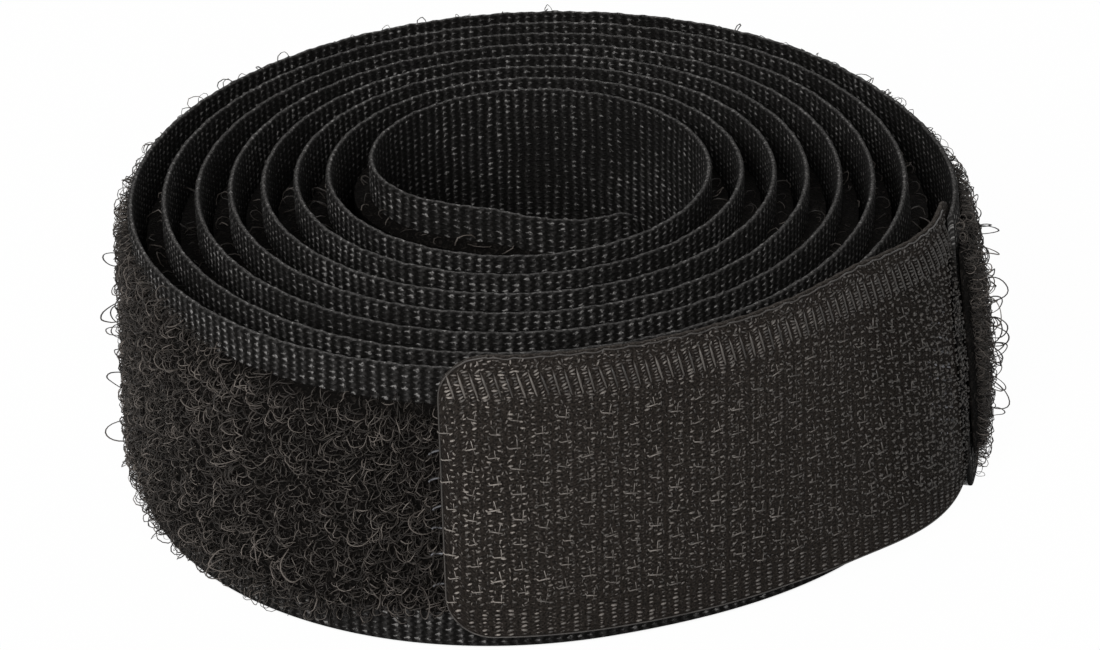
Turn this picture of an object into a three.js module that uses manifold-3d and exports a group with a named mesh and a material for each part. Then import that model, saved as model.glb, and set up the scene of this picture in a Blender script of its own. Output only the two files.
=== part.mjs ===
// Hook and loop cable tie roll, wound flat: one long loop tape with a short hook tape welded to its outer end.
// Millimetres and degrees, +Z up. The roll lies on its side, so the tapes' width stands along Z.
// Winding angles count from the front (-Y) towards the left (-X), 360 for each turn, from the core outwards.
import * as THREE from "three";
import { mergeVertices } from "three/addons/utils/BufferGeometryUtils.js";
import Module from "manifold-3d";

const wasm = await Module();
wasm.setup();

// The tapes
const tapeWidth = 20;
const tapeThickness = 0.4;
const selvedge = 2.4;
const innerCornerRadius = 2;
const tabCornerRadius = 3;
const cornerSteps = 4;

// The loop pile: its free depth, and the space kept between it and the turn outside it
const freePile = 1.1;
const pressedPile = 0.5;
const pileSpace = 0.56;
const pileEdgeTaper = 0.3;
const bareInnerEnd = 3.5;
const pileEasing = 10;
const leastGapWanted = 0.4;

// The winding. The inner turns lie off centre towards the back and the outer ones towards the front, the free
// inner end has dropped inwards, and the tab presses the front of the turn under it flat.
const coreRadius = 10.6;
const turnLooseness = 1.23;
const coreOffset = 1.2;
const rimOffset = 1.2;
const rimOval = 0.4;
const innerEndDrop = 3.8;
const pressedDrop = 0.8;
const facetError = 0.125;
const windStart = -55;
const windEnd = 2806;
const innerEndDropAngle = 29;
const innerEndDropSpread = 56;
const pressedDropAngle = 2505;
const pressedDropSpread = 45;

// The lap, where the hook tape is welded inside the loop tape's end, and the closing tab beyond it, which is
// parted where it bends. The loop tape's end leans outwards at its foot, and the turn beneath it a little less.
const weldThickness = 0.15;
const weldInset = 2;
const lapLength = 2.4;
const rootLength = 1;
const tabLength = 39.2;
const bendShares = [0, 1 / 3, 2 / 3];
const rootLean = 3.1;
const leaningLength = 144;
const leanFade = 18;
const beneathLean = 2.4;
const beneathGrowth = 52;
const beneathFade = 30;
const rootRise = 0.6;
const tabRise = 1.8;
const riseGrowth = 13;
const standoffGrowth = 5.8;

// The hooks on the tab's inner side
const hookBacking = 0.12;
const hookHeight = 0.43;
const hookClearance = 0.2;
const hookColumnPitch = 1.4;
const hookRowPitch = 1.4;
const hookStem = 0.14;
const hookReach = 0.36;
const hookShoulderShare = 0.6;
const hookSides = 3;

const walkStep = 0.5;
const turnPitch = tapeThickness + pressedPile + turnLooseness;
const tabStandoff = pressedPile + hookClearance + hookHeight + hookBacking + tapeThickness;

const clothMaterial = new THREE.MeshStandardMaterial({ color: 0x2c2a28, roughness: 0.9, metalness: 0 });
const pileMaterial = new THREE.MeshStandardMaterial({ color: 0x33302e, roughness: 0.95, metalness: 0 });
const hookMaterial = new THREE.MeshStandardMaterial({ color: 0x3b3937, roughness: 0.5, metalness: 0 });
const weldMaterial = new THREE.MeshStandardMaterial({ color: 0x242321, roughness: 0.4, metalness: 0 });

function bell(angle, centre, spread) {
  return Math.exp(-(((angle - centre) / spread) ** 2));
}

function degreesFor(length, radius) {
  return THREE.MathUtils.radToDeg(length / radius);
}

// Radius of the outer woven face of the loop tape at its upper edge.
function windingRadius(angle) {
  const outward = THREE.MathUtils.clamp(angle / windEnd, 0, 1);
  const turn = THREE.MathUtils.degToRad(angle);
  return (
    coreRadius +
    (turnPitch * angle) / 360 +
    THREE.MathUtils.lerp(-coreOffset, rimOffset, outward) * Math.cos(turn) +
    rimOval * outward * Math.sin(2 * turn) -
    innerEndDrop * bell(angle, innerEndDropAngle, innerEndDropSpread) -
    pressedDrop * bell(angle, pressedDropAngle, pressedDropSpread)
  );
}

const endRadius = windingRadius(windEnd);
const lapStart = windEnd - degreesFor(lapLength, endRadius);
const firstBend = windEnd + degreesFor(rootLength, endRadius);
const leanStart = windEnd - degreesFor(leaningLength, endRadius);
const beneathEnd = windEnd - 360;
const beneathStart = beneathEnd - degreesFor(beneathGrowth, endRadius);

// The stretch of the lap keeps one radius, so that the layers welded there are flat on each other.
function loopTapeRadius(angle) {
  return windingRadius(Math.min(angle, lapStart));
}

// How much further out the loop tape's lower edge stands than its upper one.
function windingLean(angle) {
  const atEnd = THREE.MathUtils.smoothstep(angle, leanStart, lapStart);
  const beneathEndFade = beneathEnd + degreesFor(beneathFade, endRadius);
  const beneath =
    THREE.MathUtils.smoothstep(angle, beneathStart, beneathEnd) *
    (1 - THREE.MathUtils.smoothstep(angle, beneathEnd, beneathEndFade));
  return rootLean * atEnd + beneathLean * beneath;
}

// The tab leans as the loop tape's end does at its root, and farther on as the turn beneath it.
function lean(angle) {
  const fades = THREE.MathUtils.smoothstep(angle, firstBend, firstBend + degreesFor(leanFade, endRadius));
  return THREE.MathUtils.lerp(windingLean(angle), windingLean(angle - 360), fades);
}

// The hook tape climbs a little past the lap, and goes from inside the loop tape to lie close over the turn beneath.
function hookTapeRise(angle) {
  const share = THREE.MathUtils.smoothstep(angle, firstBend, firstBend + degreesFor(riseGrowth, endRadius));
  return THREE.MathUtils.lerp(rootRise, tabRise, share);
}

function hookTapeRadius(angle) {
  const atLap = loopTapeRadius(lapStart) - tapeThickness - weldThickness;
  const overTurn = loopTapeRadius(angle - 360) + tabStandoff;
  const share = THREE.MathUtils.smoothstep(angle, firstBend, firstBend + degreesFor(standoffGrowth, endRadius));
  return THREE.MathUtils.lerp(atLap, overTurn, share);
}

const loopTape = { radius: loopTapeRadius, rise: () => 0 };
const hookTape = { radius: hookTapeRadius, rise: hookTapeRise };

// A point of a tape: height up from its lower edge, depth outwards from its outer woven face.
function tapePoint(tape, angle, height, depth) {
  const z = tape.rise(angle) + height;
  const radius = tape.radius(angle) + lean(angle) * (1 - z / tapeWidth) + depth;
  const turn = THREE.MathUtils.degToRad(angle);
  return new THREE.Vector3(-radius * Math.sin(turn), -radius * Math.cos(turn), z);
}

function lengthBetween(tape, from, to) {
  const steps = Math.ceil((to - from) / walkStep);
  let length = 0;
  for (let step = 0; step < steps; step += 1) {
    const middle = THREE.MathUtils.lerp(from, to, (step + 0.5) / steps);
    length += THREE.MathUtils.degToRad((to - from) / steps) * tape.radius(middle);
  }
  return length;
}

// The angle reached by following a tape for a length.
function angleAlong(tape, from, length) {
  let angle = from;
  let gone = 0;
  while (gone < length) {
    gone += THREE.MathUtils.degToRad(walkStep) * tape.radius(angle + walkStep / 2);
    angle += walkStep;
  }
  return angle - degreesFor(gone - length, tape.radius(angle));
}

const bends = bendShares.map((share) => angleAlong(hookTape, firstBend, share * tabLength));
const tabEnd = angleAlong(hookTape, firstBend, tabLength);

// Stations along the loop tape, as far apart as keeps each facet within facetError of the curve.
function windingStations(from, to) {
  const walk = [{ angle: from, facets: 0 }];
  while (walk[walk.length - 1].angle < to) {
    const last = walk[walk.length - 1];
    const radius = loopTapeRadius(last.angle);
    const facet = Math.sqrt(8 * facetError * radius);
    const facets = last.facets + (THREE.MathUtils.degToRad(walkStep) * radius) / facet;
    walk.push({ angle: last.angle + walkStep, facets });
  }
  const total = walk[walk.length - 1].facets;
  const count = Math.ceil(total);
  const stations = [from];
  for (let step = 1; step < count; step += 1) {
    stations.push(walk.find(({ facets }) => facets >= (total * step) / count).angle);
  }
  return [...stations, to];
}

function hookColumns(from, to) {
  return Math.max(1, Math.round(lengthBetween(hookTape, from, to) / hookColumnPitch));
}

// Stations along the hook tape, each midway between two columns of hooks.
function hookStations(from, to) {
  const columns = hookColumns(from, to);
  return Array.from({ length: columns + 1 }, (_, column) => THREE.MathUtils.lerp(from, to, column / columns));
}

// Distances from a tape's cut end at which its rounded corners have a station, and how far they cut in there.
function cornerDistances(radius) {
  const distances = [];
  for (let step = 0; step <= cornerSteps; step += 1) {
    distances.push(radius * (1 - Math.cos((Math.PI * step) / (2 * cornerSteps))));
  }
  return distances;
}

function cornerCut(distance, radius) {
  const left = Math.max(radius - distance, 0);
  return radius - Math.sqrt(radius ** 2 - left ** 2);
}

// Free depth of the pile, less where the turn or the tab outside it presses it down.
function pileRoom(angle) {
  const outside = angle + 360;
  if (outside > windEnd) {
    return outside <= tabEnd ? pressedPile : freePile;
  }
  return loopTapeRadius(outside) - tapeThickness - pileSpace - loopTapeRadius(angle);
}

function pileDepth(angle) {
  let least = freePile;
  for (let offset = -pileEasing; offset <= pileEasing; offset += 1) {
    least = Math.min(least, pileRoom(angle + offset));
  }
  return least;
}

// A cross-section is four sides in turn, each a list of [height, depth] corners that ends where the next starts.
function boxSection(low, high, outer, inner) {
  return [
    [[low, outer], [high, outer]],
    [[high, outer], [high, inner]],
    [[high, inner], [low, inner]],
    [[low, inner], [low, outer]],
  ];
}

// Where the loop tape leans, its outer face is divided at the edges of the pile, so that the two keep one surface.
function loopTapeSection(angle) {
  const cut = cornerCut(lengthBetween(loopTape, windStart, angle), innerCornerRadius);
  const section = boxSection(cut, tapeWidth - cut, 0, -tapeThickness);
  if (angle >= beneathStart) {
    section[0] = [[cut, 0], [selvedge, 0], [tapeWidth - selvedge, 0], [tapeWidth - cut, 0]];
  }
  return section;
}

function pileSection(angle) {
  const depth = pileDepth(angle);
  const [low, high] = [selvedge, tapeWidth - selvedge];
  const [crownLow, crownHigh] = [low + pileEdgeTaper, high - pileEdgeTaper];
  return [
    [[crownLow, depth], [crownHigh, depth]],
    [[crownHigh, depth], [high, 0]],
    [[high, 0], [low, 0]],
    [[low, 0], [crownLow, depth]],
  ];
}

function weldSection() {
  return boxSection(weldInset, tapeWidth - weldInset, -tapeThickness, -tapeThickness - weldThickness);
}

// The hook tape's inner face is divided at the edges of the hooks' backing.
function hookTapeSection(angle) {
  const cut = cornerCut(lengthBetween(hookTape, angle, tabEnd), tabCornerRadius);
  const section = boxSection(cut, tapeWidth - cut, 0, -tapeThickness);
  const edge = selvedge + cut / 2;
  section[2] = [tapeWidth - cut, tapeWidth - edge, edge, cut].map((height) => [height, -tapeThickness]);
  return section;
}

function backingSection() {
  return boxSection(selvedge, tapeWidth - selvedge, -tapeThickness, -tapeThickness - hookBacking);
}

// Triangles between the same side at two stations. A strip is split from its lower near corner to its upper far one,
// the same way on both pieces that touch there. Where the far station has more corners, they fan from the near one.
function sideTriangles(near, far, rising) {
  const triangles = [];
  if (near.length === far.length) {
    for (let corner = 0; corner < near.length - 1; corner += 1) {
      const [a, b, c, d] = [near[corner], near[corner + 1], far[corner], far[corner + 1]];
      triangles.push(...(rising ? [[a, d, c], [a, b, d]] : [[a, b, c], [b, d, c]]));
    }
    return triangles;
  }
  for (let corner = 0; corner < far.length - 1; corner += 1) {
    triangles.push([near[0], far[corner + 1], far[corner]]);
  }
  return [...triangles, [near[0], near[near.length - 1], far[far.length - 1]]];
}

// The end of a band, fanned from a corner of the face opposite to the divided one.
function capTriangles(sides) {
  const divided = Math.max(0, sides.findIndex((side) => side.length > 2));
  const opposite = divided + sides.length - 1;
  const turned = sides.map((_, index) => sides[(opposite + index) % sides.length]);
  const corners = turned.flatMap((side) => side.slice(0, -1));
  return corners.slice(1, -1).map((corner, index) => [corners[0], corner, corners[index + 2]]);
}

// A closed body along a tape, whose cross-section at each station is section(angle).
function bandBody(tape, stations, section) {
  const positions = [];
  const rings = stations.map((angle) => {
    const first = positions.length / 3;
    const sides = section(angle).map((side) => side.slice(0, -1).map(([height, depth]) => {
      positions.push(...tapePoint(tape, angle, height, depth).toArray());
      return positions.length / 3 - 1;
    }));
    return sides.map((side, index) => [...side, index === sides.length - 1 ? first : sides[index + 1][0]]);
  });
  const startCap = capTriangles(rings[0]).map(([a, b, c]) => [a, c, b]);
  const triangles = [...startCap, ...capTriangles(rings[rings.length - 1])];
  rings.slice(0, -1).forEach((ring, station) => {
    ring.forEach((side, index) => {
      const rising = positions[3 * side[side.length - 1] + 2] >= positions[3 * side[0] + 2];
      triangles.push(...sideTriangles(side, rings[station + 1][index], rising));
    });
  });
  return { positions, triangles };
}

function geometryFrom({ positions, triangles }) {
  const geometry = new THREE.BufferGeometry();
  geometry.setAttribute("position", new THREE.Float32BufferAttribute(positions, 3));
  geometry.setIndex(triangles.flat());
  return geometry;
}

function meshFrom(name, body, material) {
  const geometry = geometryFrom(body);
  geometry.computeVertexNormals();
  const mesh = new THREE.Mesh(geometry, material);
  mesh.name = name;
  return mesh;
}

function solidFrom(body) {
  const merged = mergeVertices(geometryFrom(body));
  const mesh = new wasm.Mesh({
    numProp: 3,
    vertProperties: merged.attributes.position.array,
    triVerts: new Uint32Array(merged.index.array),
  });
  return new wasm.Manifold(mesh);
}

// One hook: a stem that stands in the backing, bends over at its shoulder and ends in a point that reaches up or
// down along the tape's width.
function hookBody(angle, height, side) {
  const origin = tapePoint(hookTape, angle, height, -tapeThickness - hookBacking);
  const outward = tapePoint(hookTape, angle, height, 0).sub(origin).normalize();
  const up = new THREE.Vector3(0, 0, 1);
  const along = new THREE.Vector3().crossVectors(outward, up);
  const positions = [];
  const addCorner = (across, rise, depth) => {
    const corner = origin.clone().addScaledVector(along, across).addScaledVector(up, rise);
    positions.push(...corner.addScaledVector(outward, depth).toArray());
  };
  [hookBacking / 2, -hookHeight * hookShoulderShare].forEach((depth) => {
    for (let corner = 0; corner < hookSides; corner += 1) {
      const around = (2 * Math.PI * corner) / hookSides;
      addCorner(hookStem * Math.cos(around), hookStem * Math.sin(around), depth);
    }
  });
  addCorner(0, side * hookReach, -hookHeight);
  const tip = 2 * hookSides;
  const triangles = [];
  for (let corner = 0; corner < hookSides; corner += 1) {
    const next = (corner + 1) % hookSides;
    const [above, nextAbove] = [corner + hookSides, next + hookSides];
    triangles.push([corner, nextAbove, above], [corner, next, nextAbove], [above, nextAbove, tip]);
    if (corner > 1) {
      triangles.push([0, corner, corner - 1]);
    }
  }
  return { positions, triangles };
}

// A field of hooks fused to its slice of the backing. Every other row points down.
function hookField(name, stations) {
  const [from, to] = [stations[0], stations[stations.length - 1]];
  const columns = hookColumns(from, to);
  const rows = Math.round((tapeWidth - 2 * selvedge) / hookRowPitch);
  let field = solidFrom(bandBody(hookTape, stations, backingSection));
  for (let column = 0; column < columns; column += 1) {
    const angle = THREE.MathUtils.lerp(from, to, (column + 0.5) / columns);
    for (let row = 0; row < rows; row += 1) {
      const height = THREE.MathUtils.lerp(selvedge, tapeWidth - selvedge, (row + 0.5) / rows);
      field = field.add(solidFrom(hookBody(angle, height, row % 2 === 0 ? 1 : -1)));
    }
  }
  console.log(`${name}: ${columns * rows} hooks`);
  const { vertProperties, triVerts } = field.getMesh();
  return meshFrom(name, { positions: [...vertProperties], triangles: [...triVerts] }, hookMaterial);
}

// The least gap of the winding to itself: from the pile's crown to the woven face of the turn outside it.
function leastTurnGap(stations) {
  const faces = stations.map((angle) => tapePoint(loopTape, angle, tapeWidth / 2, -tapeThickness));
  const nearest = new THREE.Vector3();
  let least = Infinity;
  stations.forEach((angle) => {
    const crown = tapePoint(loopTape, angle, tapeWidth / 2, pileDepth(angle));
    for (let station = 1; station < stations.length; station += 1) {
      if (stations[station] > angle + 180) {
        new THREE.Line3(faces[station - 1], faces[station]).closestPointToPoint(crown, true, nearest);
        least = Math.min(least, nearest.distanceTo(crown));
      }
    }
  });
  return least;
}

const roll = new THREE.Group();

// The loop tape, rounded at its inner end, and its pile
const innerEnd = cornerDistances(innerCornerRadius).map((distance) => angleAlong(loopTape, windStart, distance));
const pileStart = angleAlong(loopTape, windStart, bareInnerEnd);
const pileStations = [
  ...windingStations(pileStart, beneathStart).slice(0, -1),
  ...windingStations(beneathStart, lapStart),
  windEnd,
];
const loopTapeStations = [...innerEnd, ...pileStations];
roll.add(meshFrom("loop_tape", bandBody(loopTape, loopTapeStations, loopTapeSection), clothMaterial));
roll.add(meshFrom("loop_pile", bandBody(loopTape, pileStations, pileSection), pileMaterial));

// The weld, and the hook tape in the stretches between its bends, each with its hooks
roll.add(meshFrom("lap_weld", bandBody(loopTape, [lapStart, windEnd], weldSection), weldMaterial));
const tabCorner = cornerDistances(tabCornerRadius)
  .reverse()
  .map((distance) => angleAlong(hookTape, firstBend, tabLength - distance));
const stretches = [
  { place: "root", stations: [lapStart, windEnd, firstBend], corner: [] },
  { place: "near", stations: hookStations(bends[0], bends[1]), corner: [] },
  { place: "middle", stations: hookStations(bends[1], bends[2]), corner: [] },
  { place: "tip", stations: hookStations(bends[2], tabCorner[0]), corner: tabCorner.slice(1) },
];
stretches.forEach(({ place, stations, corner }) => {
  const tape = bandBody(hookTape, [...stations, ...corner], hookTapeSection);
  roll.add(meshFrom(`hook_tape_${place}`, tape, clothMaterial));
  roll.add(hookField(`hooks_${place}`, stations));
});

// The origin is the centre of the roll's footprint
const footprint = new THREE.Box3().setFromObject(roll).getCenter(new THREE.Vector3()).setZ(0);
roll.position.sub(footprint);

const rounded = (vector, digits) => vector.toArray().map((value) => value.toFixed(digits)).join(" ");
console.log(`least gap between turns: ${leastTurnGap(pileStations).toFixed(3)} mm, over ${leastGapWanted} wanted`);
console.log(`loop tape length: ${lengthBetween(loopTape, windStart, windEnd).toFixed(1)} mm`);
console.log(`footprint centre: ${rounded(footprint, 4)}`);
bends.forEach((bend) => {
  const foot = tapePoint(hookTape, bend, 0, 0).sub(footprint);
  const axis = tapePoint(hookTape, bend, tapeWidth, 0).sub(footprint).sub(foot).normalize();
  console.log(`bend at ${bend.toFixed(3)}: foot ${rounded(foot, 4)}, axis ${rounded(axis, 6)}`);
});

export default roll;
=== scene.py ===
import math

import bpy
import numpy as np
from bpy.props import FloatProperty, FloatVectorProperty, IntProperty, PointerProperty
from mathutils import Matrix, Vector


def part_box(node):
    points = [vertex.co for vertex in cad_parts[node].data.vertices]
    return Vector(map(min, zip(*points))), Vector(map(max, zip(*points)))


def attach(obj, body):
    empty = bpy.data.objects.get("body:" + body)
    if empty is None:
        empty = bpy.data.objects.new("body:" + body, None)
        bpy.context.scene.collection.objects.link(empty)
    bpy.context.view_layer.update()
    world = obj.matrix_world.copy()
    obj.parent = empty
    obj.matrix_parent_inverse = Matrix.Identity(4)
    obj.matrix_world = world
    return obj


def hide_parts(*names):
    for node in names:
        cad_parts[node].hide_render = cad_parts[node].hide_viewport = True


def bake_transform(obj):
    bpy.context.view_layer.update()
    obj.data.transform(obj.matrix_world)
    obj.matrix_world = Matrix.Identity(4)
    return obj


bl_info = {
    "name": "Hook and Loop Cable Tie Roll",
    "version": (1, 0, 0),
    "blender": (4, 5, 0),
    "location": "View3D > Sidebar > Tie Roll",
    "description": "Dresses a wound hook and loop cable tie with its weave, loop pile, hooks and stitches",
    "category": "Add Mesh",
}

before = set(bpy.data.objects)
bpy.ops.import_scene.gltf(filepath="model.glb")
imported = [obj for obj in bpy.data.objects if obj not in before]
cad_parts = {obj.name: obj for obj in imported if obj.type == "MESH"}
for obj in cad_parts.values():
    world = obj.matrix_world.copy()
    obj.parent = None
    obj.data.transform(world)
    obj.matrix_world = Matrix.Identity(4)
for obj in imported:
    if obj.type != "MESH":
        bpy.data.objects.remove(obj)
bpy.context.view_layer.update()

# The tapes, as in the frame
TAPE_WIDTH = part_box("loop_tape")[1].z
THICKNESS = 0.0004
SELVEDGE = 0.0024
INNER_CORNER = 0.002
TAB_CORNER = 0.003
FREE_PILE = 0.0011
PRESSED_PILE = 0.0005
PILE_SPACE = 0.00056
PILE_TAPER = 0.0003
PILE_EASING = 10
BARE_INNER_END = 0.0035
HOOK_BACKING = 0.00012
HOOK_HEIGHT = 0.00043

# The winding
CORE_RADIUS = 0.0106
TURN_PITCH = 0.00213
CORE_OFFSET = 0.0012
RIM_OFFSET = 0.0012
RIM_OVAL = 0.0004
INNER_END_DROP = 0.0038
INNER_END_DROP_ANGLE = 29
INNER_END_DROP_SPREAD = 56
PRESSED_DROP = 0.0008
PRESSED_DROP_ANGLE = 2505
PRESSED_DROP_SPREAD = 45
WIND_START = -55
WIND_END = 2806
FOOTPRINT_CENTRE = (0.0014872, 0.0005396)

# The lap, the tab and the lean of the turns near them
WELD_THICKNESS = 0.00015
WELD_INSET = 0.002
LAP_LENGTH = 0.0024
ROOT_LENGTH = 0.001
TAB_LENGTH = 0.0392
ROOT_LEAN = 0.0031
LEANING_LENGTH = 0.144
LEAN_FADE = 0.018
BENEATH_LEAN = 0.0024
BENEATH_GROWTH = 0.052
BENEATH_FADE = 0.03
ROOT_RISE = 0.0006
TAB_RISE = 0.0018
RISE_GROWTH = 0.013
STANDOFF_GROWTH = 0.0058
TAB_STANDOFF = 0.00165
BEND_REACH = 0.0055
ROOT_BEND_REACH = BEND_REACH / 18
TOP_SWELL = 0.001
MIDDLE_SWELL = 0.0008
SWELL_GROWTH = 0.02
SWELL_FADE = 0.012
EDGE_WAVER = 0.00002
EDGE_WAVES = (0.0009, 0.0017, 0.0037)

# How finely the pieces are made
WALK_STEP = 0.25
HOOK_TAPE_SWEEP = 120
EDGE_STEPS = 4
CORNER_STEPS = 10
RIM_CORNER_STEPS = 12
WEAVE_STATION = 0.00025
FELT_STATION = 0.0004
WELD_STATION = 0.0004
BACKING_STATION = 0.0005
FLOOR_STATIONS = 240
OUTER_LOOP_PIECES = 9
SHARP_EDGE = math.radians(50)
MM = 0.001

# How far the middle of the upper edge lies from one tape width in the UV map, whose unit is a millimetre
EDGE_OFFSET = THICKNESS / MM * (math.pi / 4 - 1)

# What is set on the tapes, in from their edges or their ends
FELT_TAPER = 0.0012
LOOP_MARGIN = 0.0002
THREADS_START = 0.0025
THREAD_MARGIN = 0.0002
RIB_OVERLAP = 0.0006
RIB_TOP_MARGIN = 0.001
RIB_LEAN = 0.26
HOOKS_START = 0.0045
HOOK_MARGIN = 0.0003
BACKING_START = 0.0035

# The lamps (name, place, size and watts), the world, and the floor, which looks white to the camera
LAMPS = (
    ("key_light", (-0.55, -1.25, 0.9), 0.9, 26),
    ("fill_light", (0.5, -1.3, 0.8), 0.8, 1.5),
    ("back_light", (0.2, 1.35, 1.0), 0.9, 6))
WORLD_LEVEL = 0.18
FLOOR_WHITE = 0.98
FLOOR_RADIUS = 2.1

# The camera, from the tapes' edges in the photograph
IMAGE_WIDTH = 1100
FOCAL_PIXELS = 3534.55
SENSOR = 36
CAMERA_DISTANCE = 0.235
CAMERA_ELEVATION = math.radians(29.49)
CAMERA_ROLL = math.radians(-1.336)
CAMERA_TARGET = (0.001289, -0.002947, 0.01)


def degrees_for(length, radius):
    return math.degrees(length / radius)


def bell(angle, centre, spread):
    return np.exp(-(((angle - centre) / spread) ** 2))


def smoothstep(value, low, high):
    share = np.clip((value - low) / (high - low), 0, 1)
    return share * share * (3 - 2 * share)


def winding_radius(angle):
    outward = np.clip(angle / WIND_END, 0, 1)
    turn = np.radians(angle)
    return (
        CORE_RADIUS
        + TURN_PITCH * angle / 360
        + (RIM_OFFSET * outward - CORE_OFFSET * (1 - outward)) * np.cos(turn)
        + RIM_OVAL * outward * np.sin(2 * turn)
        - INNER_END_DROP * bell(angle, INNER_END_DROP_ANGLE, INNER_END_DROP_SPREAD)
        - PRESSED_DROP * bell(angle, PRESSED_DROP_ANGLE, PRESSED_DROP_SPREAD)
    )


END_RADIUS = float(winding_radius(WIND_END))
LAP_START = WIND_END - degrees_for(LAP_LENGTH, END_RADIUS)
FIRST_BEND = WIND_END + degrees_for(ROOT_LENGTH, END_RADIUS)
LEAN_START = WIND_END - degrees_for(LEANING_LENGTH, END_RADIUS)
BENEATH_END = WIND_END - 360
BENEATH_START = BENEATH_END - degrees_for(BENEATH_GROWTH, END_RADIUS)


def loop_tape_radius(angle):
    return winding_radius(np.minimum(angle, LAP_START))


def winding_lean(angle):
    at_end = smoothstep(angle, LEAN_START, LAP_START)
    fades = smoothstep(angle, BENEATH_END, BENEATH_END + degrees_for(BENEATH_FADE, END_RADIUS))
    beneath = smoothstep(angle, BENEATH_START, BENEATH_END) * (1 - fades)
    return ROOT_LEAN * at_end + BENEATH_LEAN * beneath


def lean(angle):
    fades = smoothstep(angle, FIRST_BEND, FIRST_BEND + degrees_for(LEAN_FADE, END_RADIUS))
    return winding_lean(angle) * (1 - fades) + winding_lean(angle - 360) * fades


def hook_tape_rise(angle):
    share = smoothstep(angle, FIRST_BEND, FIRST_BEND + degrees_for(RISE_GROWTH, END_RADIUS))
    return ROOT_RISE + (TAB_RISE - ROOT_RISE) * share


def hook_tape_radius(angle):
    at_lap = loop_tape_radius(LAP_START) - THICKNESS - WELD_THICKNESS
    over_turn = loop_tape_radius(angle - 360) + TAB_STANDOFF
    share = smoothstep(angle, FIRST_BEND, FIRST_BEND + degrees_for(STANDOFF_GROWTH, END_RADIUS))
    return at_lap + (over_turn - at_lap) * share


def swell(angle, share):
    """How far the tapes bow outwards near the lap, at a share of their width."""
    grows = smoothstep(angle, LAP_START - degrees_for(SWELL_GROWTH, END_RADIUS), LAP_START)
    fades = smoothstep(angle, FIRST_BEND, FIRST_BEND + degrees_for(SWELL_FADE, END_RADIUS))
    return grows * (1 - fades) * (TOP_SWELL * share + 4 * MIDDLE_SWELL * share * (1 - share))


def waver(length):
    """How far a tape's upper edge stands above or below its true line, as the weft pulls it."""
    return EDGE_WAVER * sum(np.sin(math.tau * length / wave + 1000 * wave) for wave in EDGE_WAVES)


class Tape:
    """A tape on its winding, measured by the length along it from its start."""

    def __init__(self, radius, rise, start, end):
        self.radius = radius
        self.rise = rise
        self.angles = np.linspace(start, end, int((end - start) / WALK_STEP) + 1)
        middles = (self.angles[1:] + self.angles[:-1]) / 2
        steps = np.radians(np.diff(self.angles)) * radius(middles)
        self.lengths = np.concatenate([[0], np.cumsum(steps)])

    @property
    def length(self):
        return float(self.lengths[-1])

    def angle_at(self, length):
        return np.interp(length, self.lengths, self.angles)

    def length_at(self, angle):
        return float(np.interp(angle, self.angles, self.lengths))

    def place(self, length, height, depth):
        """Points in the frame: height up from the lower edge, depth outwards from the outer woven face."""
        angle = self.angle_at(length)
        z = self.rise(angle) + height
        share = z / TAPE_WIDTH
        z = z + waver(length) * np.clip(2 * share - 1, 0, 1)
        radius = self.radius(angle) + lean(angle) * (1 - share) + swell(angle, np.clip(share, 0, 1)) + depth
        turn = np.radians(angle)
        x = -radius * np.sin(turn) - FOOTPRINT_CENTRE[0]
        y = -radius * np.cos(turn) - FOOTPRINT_CENTRE[1]
        return np.stack([x, y, z], axis=-1)


LOOP_TAPE = Tape(loop_tape_radius, lambda angle: 0 * angle, WIND_START, WIND_END)
HOOK_TAPE = Tape(hook_tape_radius, hook_tape_rise, LAP_START, FIRST_BEND + HOOK_TAPE_SWEEP)
FIRST_BEND_AT = HOOK_TAPE.length_at(FIRST_BEND)
TAB_TIP_AT = FIRST_BEND_AT + TAB_LENGTH
TAB_END = float(HOOK_TAPE.angle_at(TAB_TIP_AT))
OUTER_TURN_AT = LOOP_TAPE.length_at(WIND_END - 360)
TAB_COVER = (LOOP_TAPE.length_at(FIRST_BEND - 360), LOOP_TAPE.length_at(TAB_END - 360))


def pile_room(angle):
    outside = angle + 360
    between = loop_tape_radius(outside) - THICKNESS - PILE_SPACE - loop_tape_radius(angle)
    free = np.where(outside <= TAB_END, PRESSED_PILE, FREE_PILE)
    return np.where(outside > WIND_END, free, between)


def pile_depth(length):
    """Depth that the pile has at a length along the loop tape."""
    angle = LOOP_TAPE.angle_at(length)
    rooms = [pile_room(angle + offset) for offset in range(-PILE_EASING, PILE_EASING + 1)]
    return np.minimum(FREE_PILE, np.min(rooms, axis=0))


def length_setting(name, description, default):
    return FloatProperty(name=name, description=description, default=default, unit="LENGTH", precision=5)


def colour_setting(name, description, default):
    return FloatVectorProperty(
        name=name, description=description, default=default, subtype="COLOR", size=3, min=0, max=1)


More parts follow.
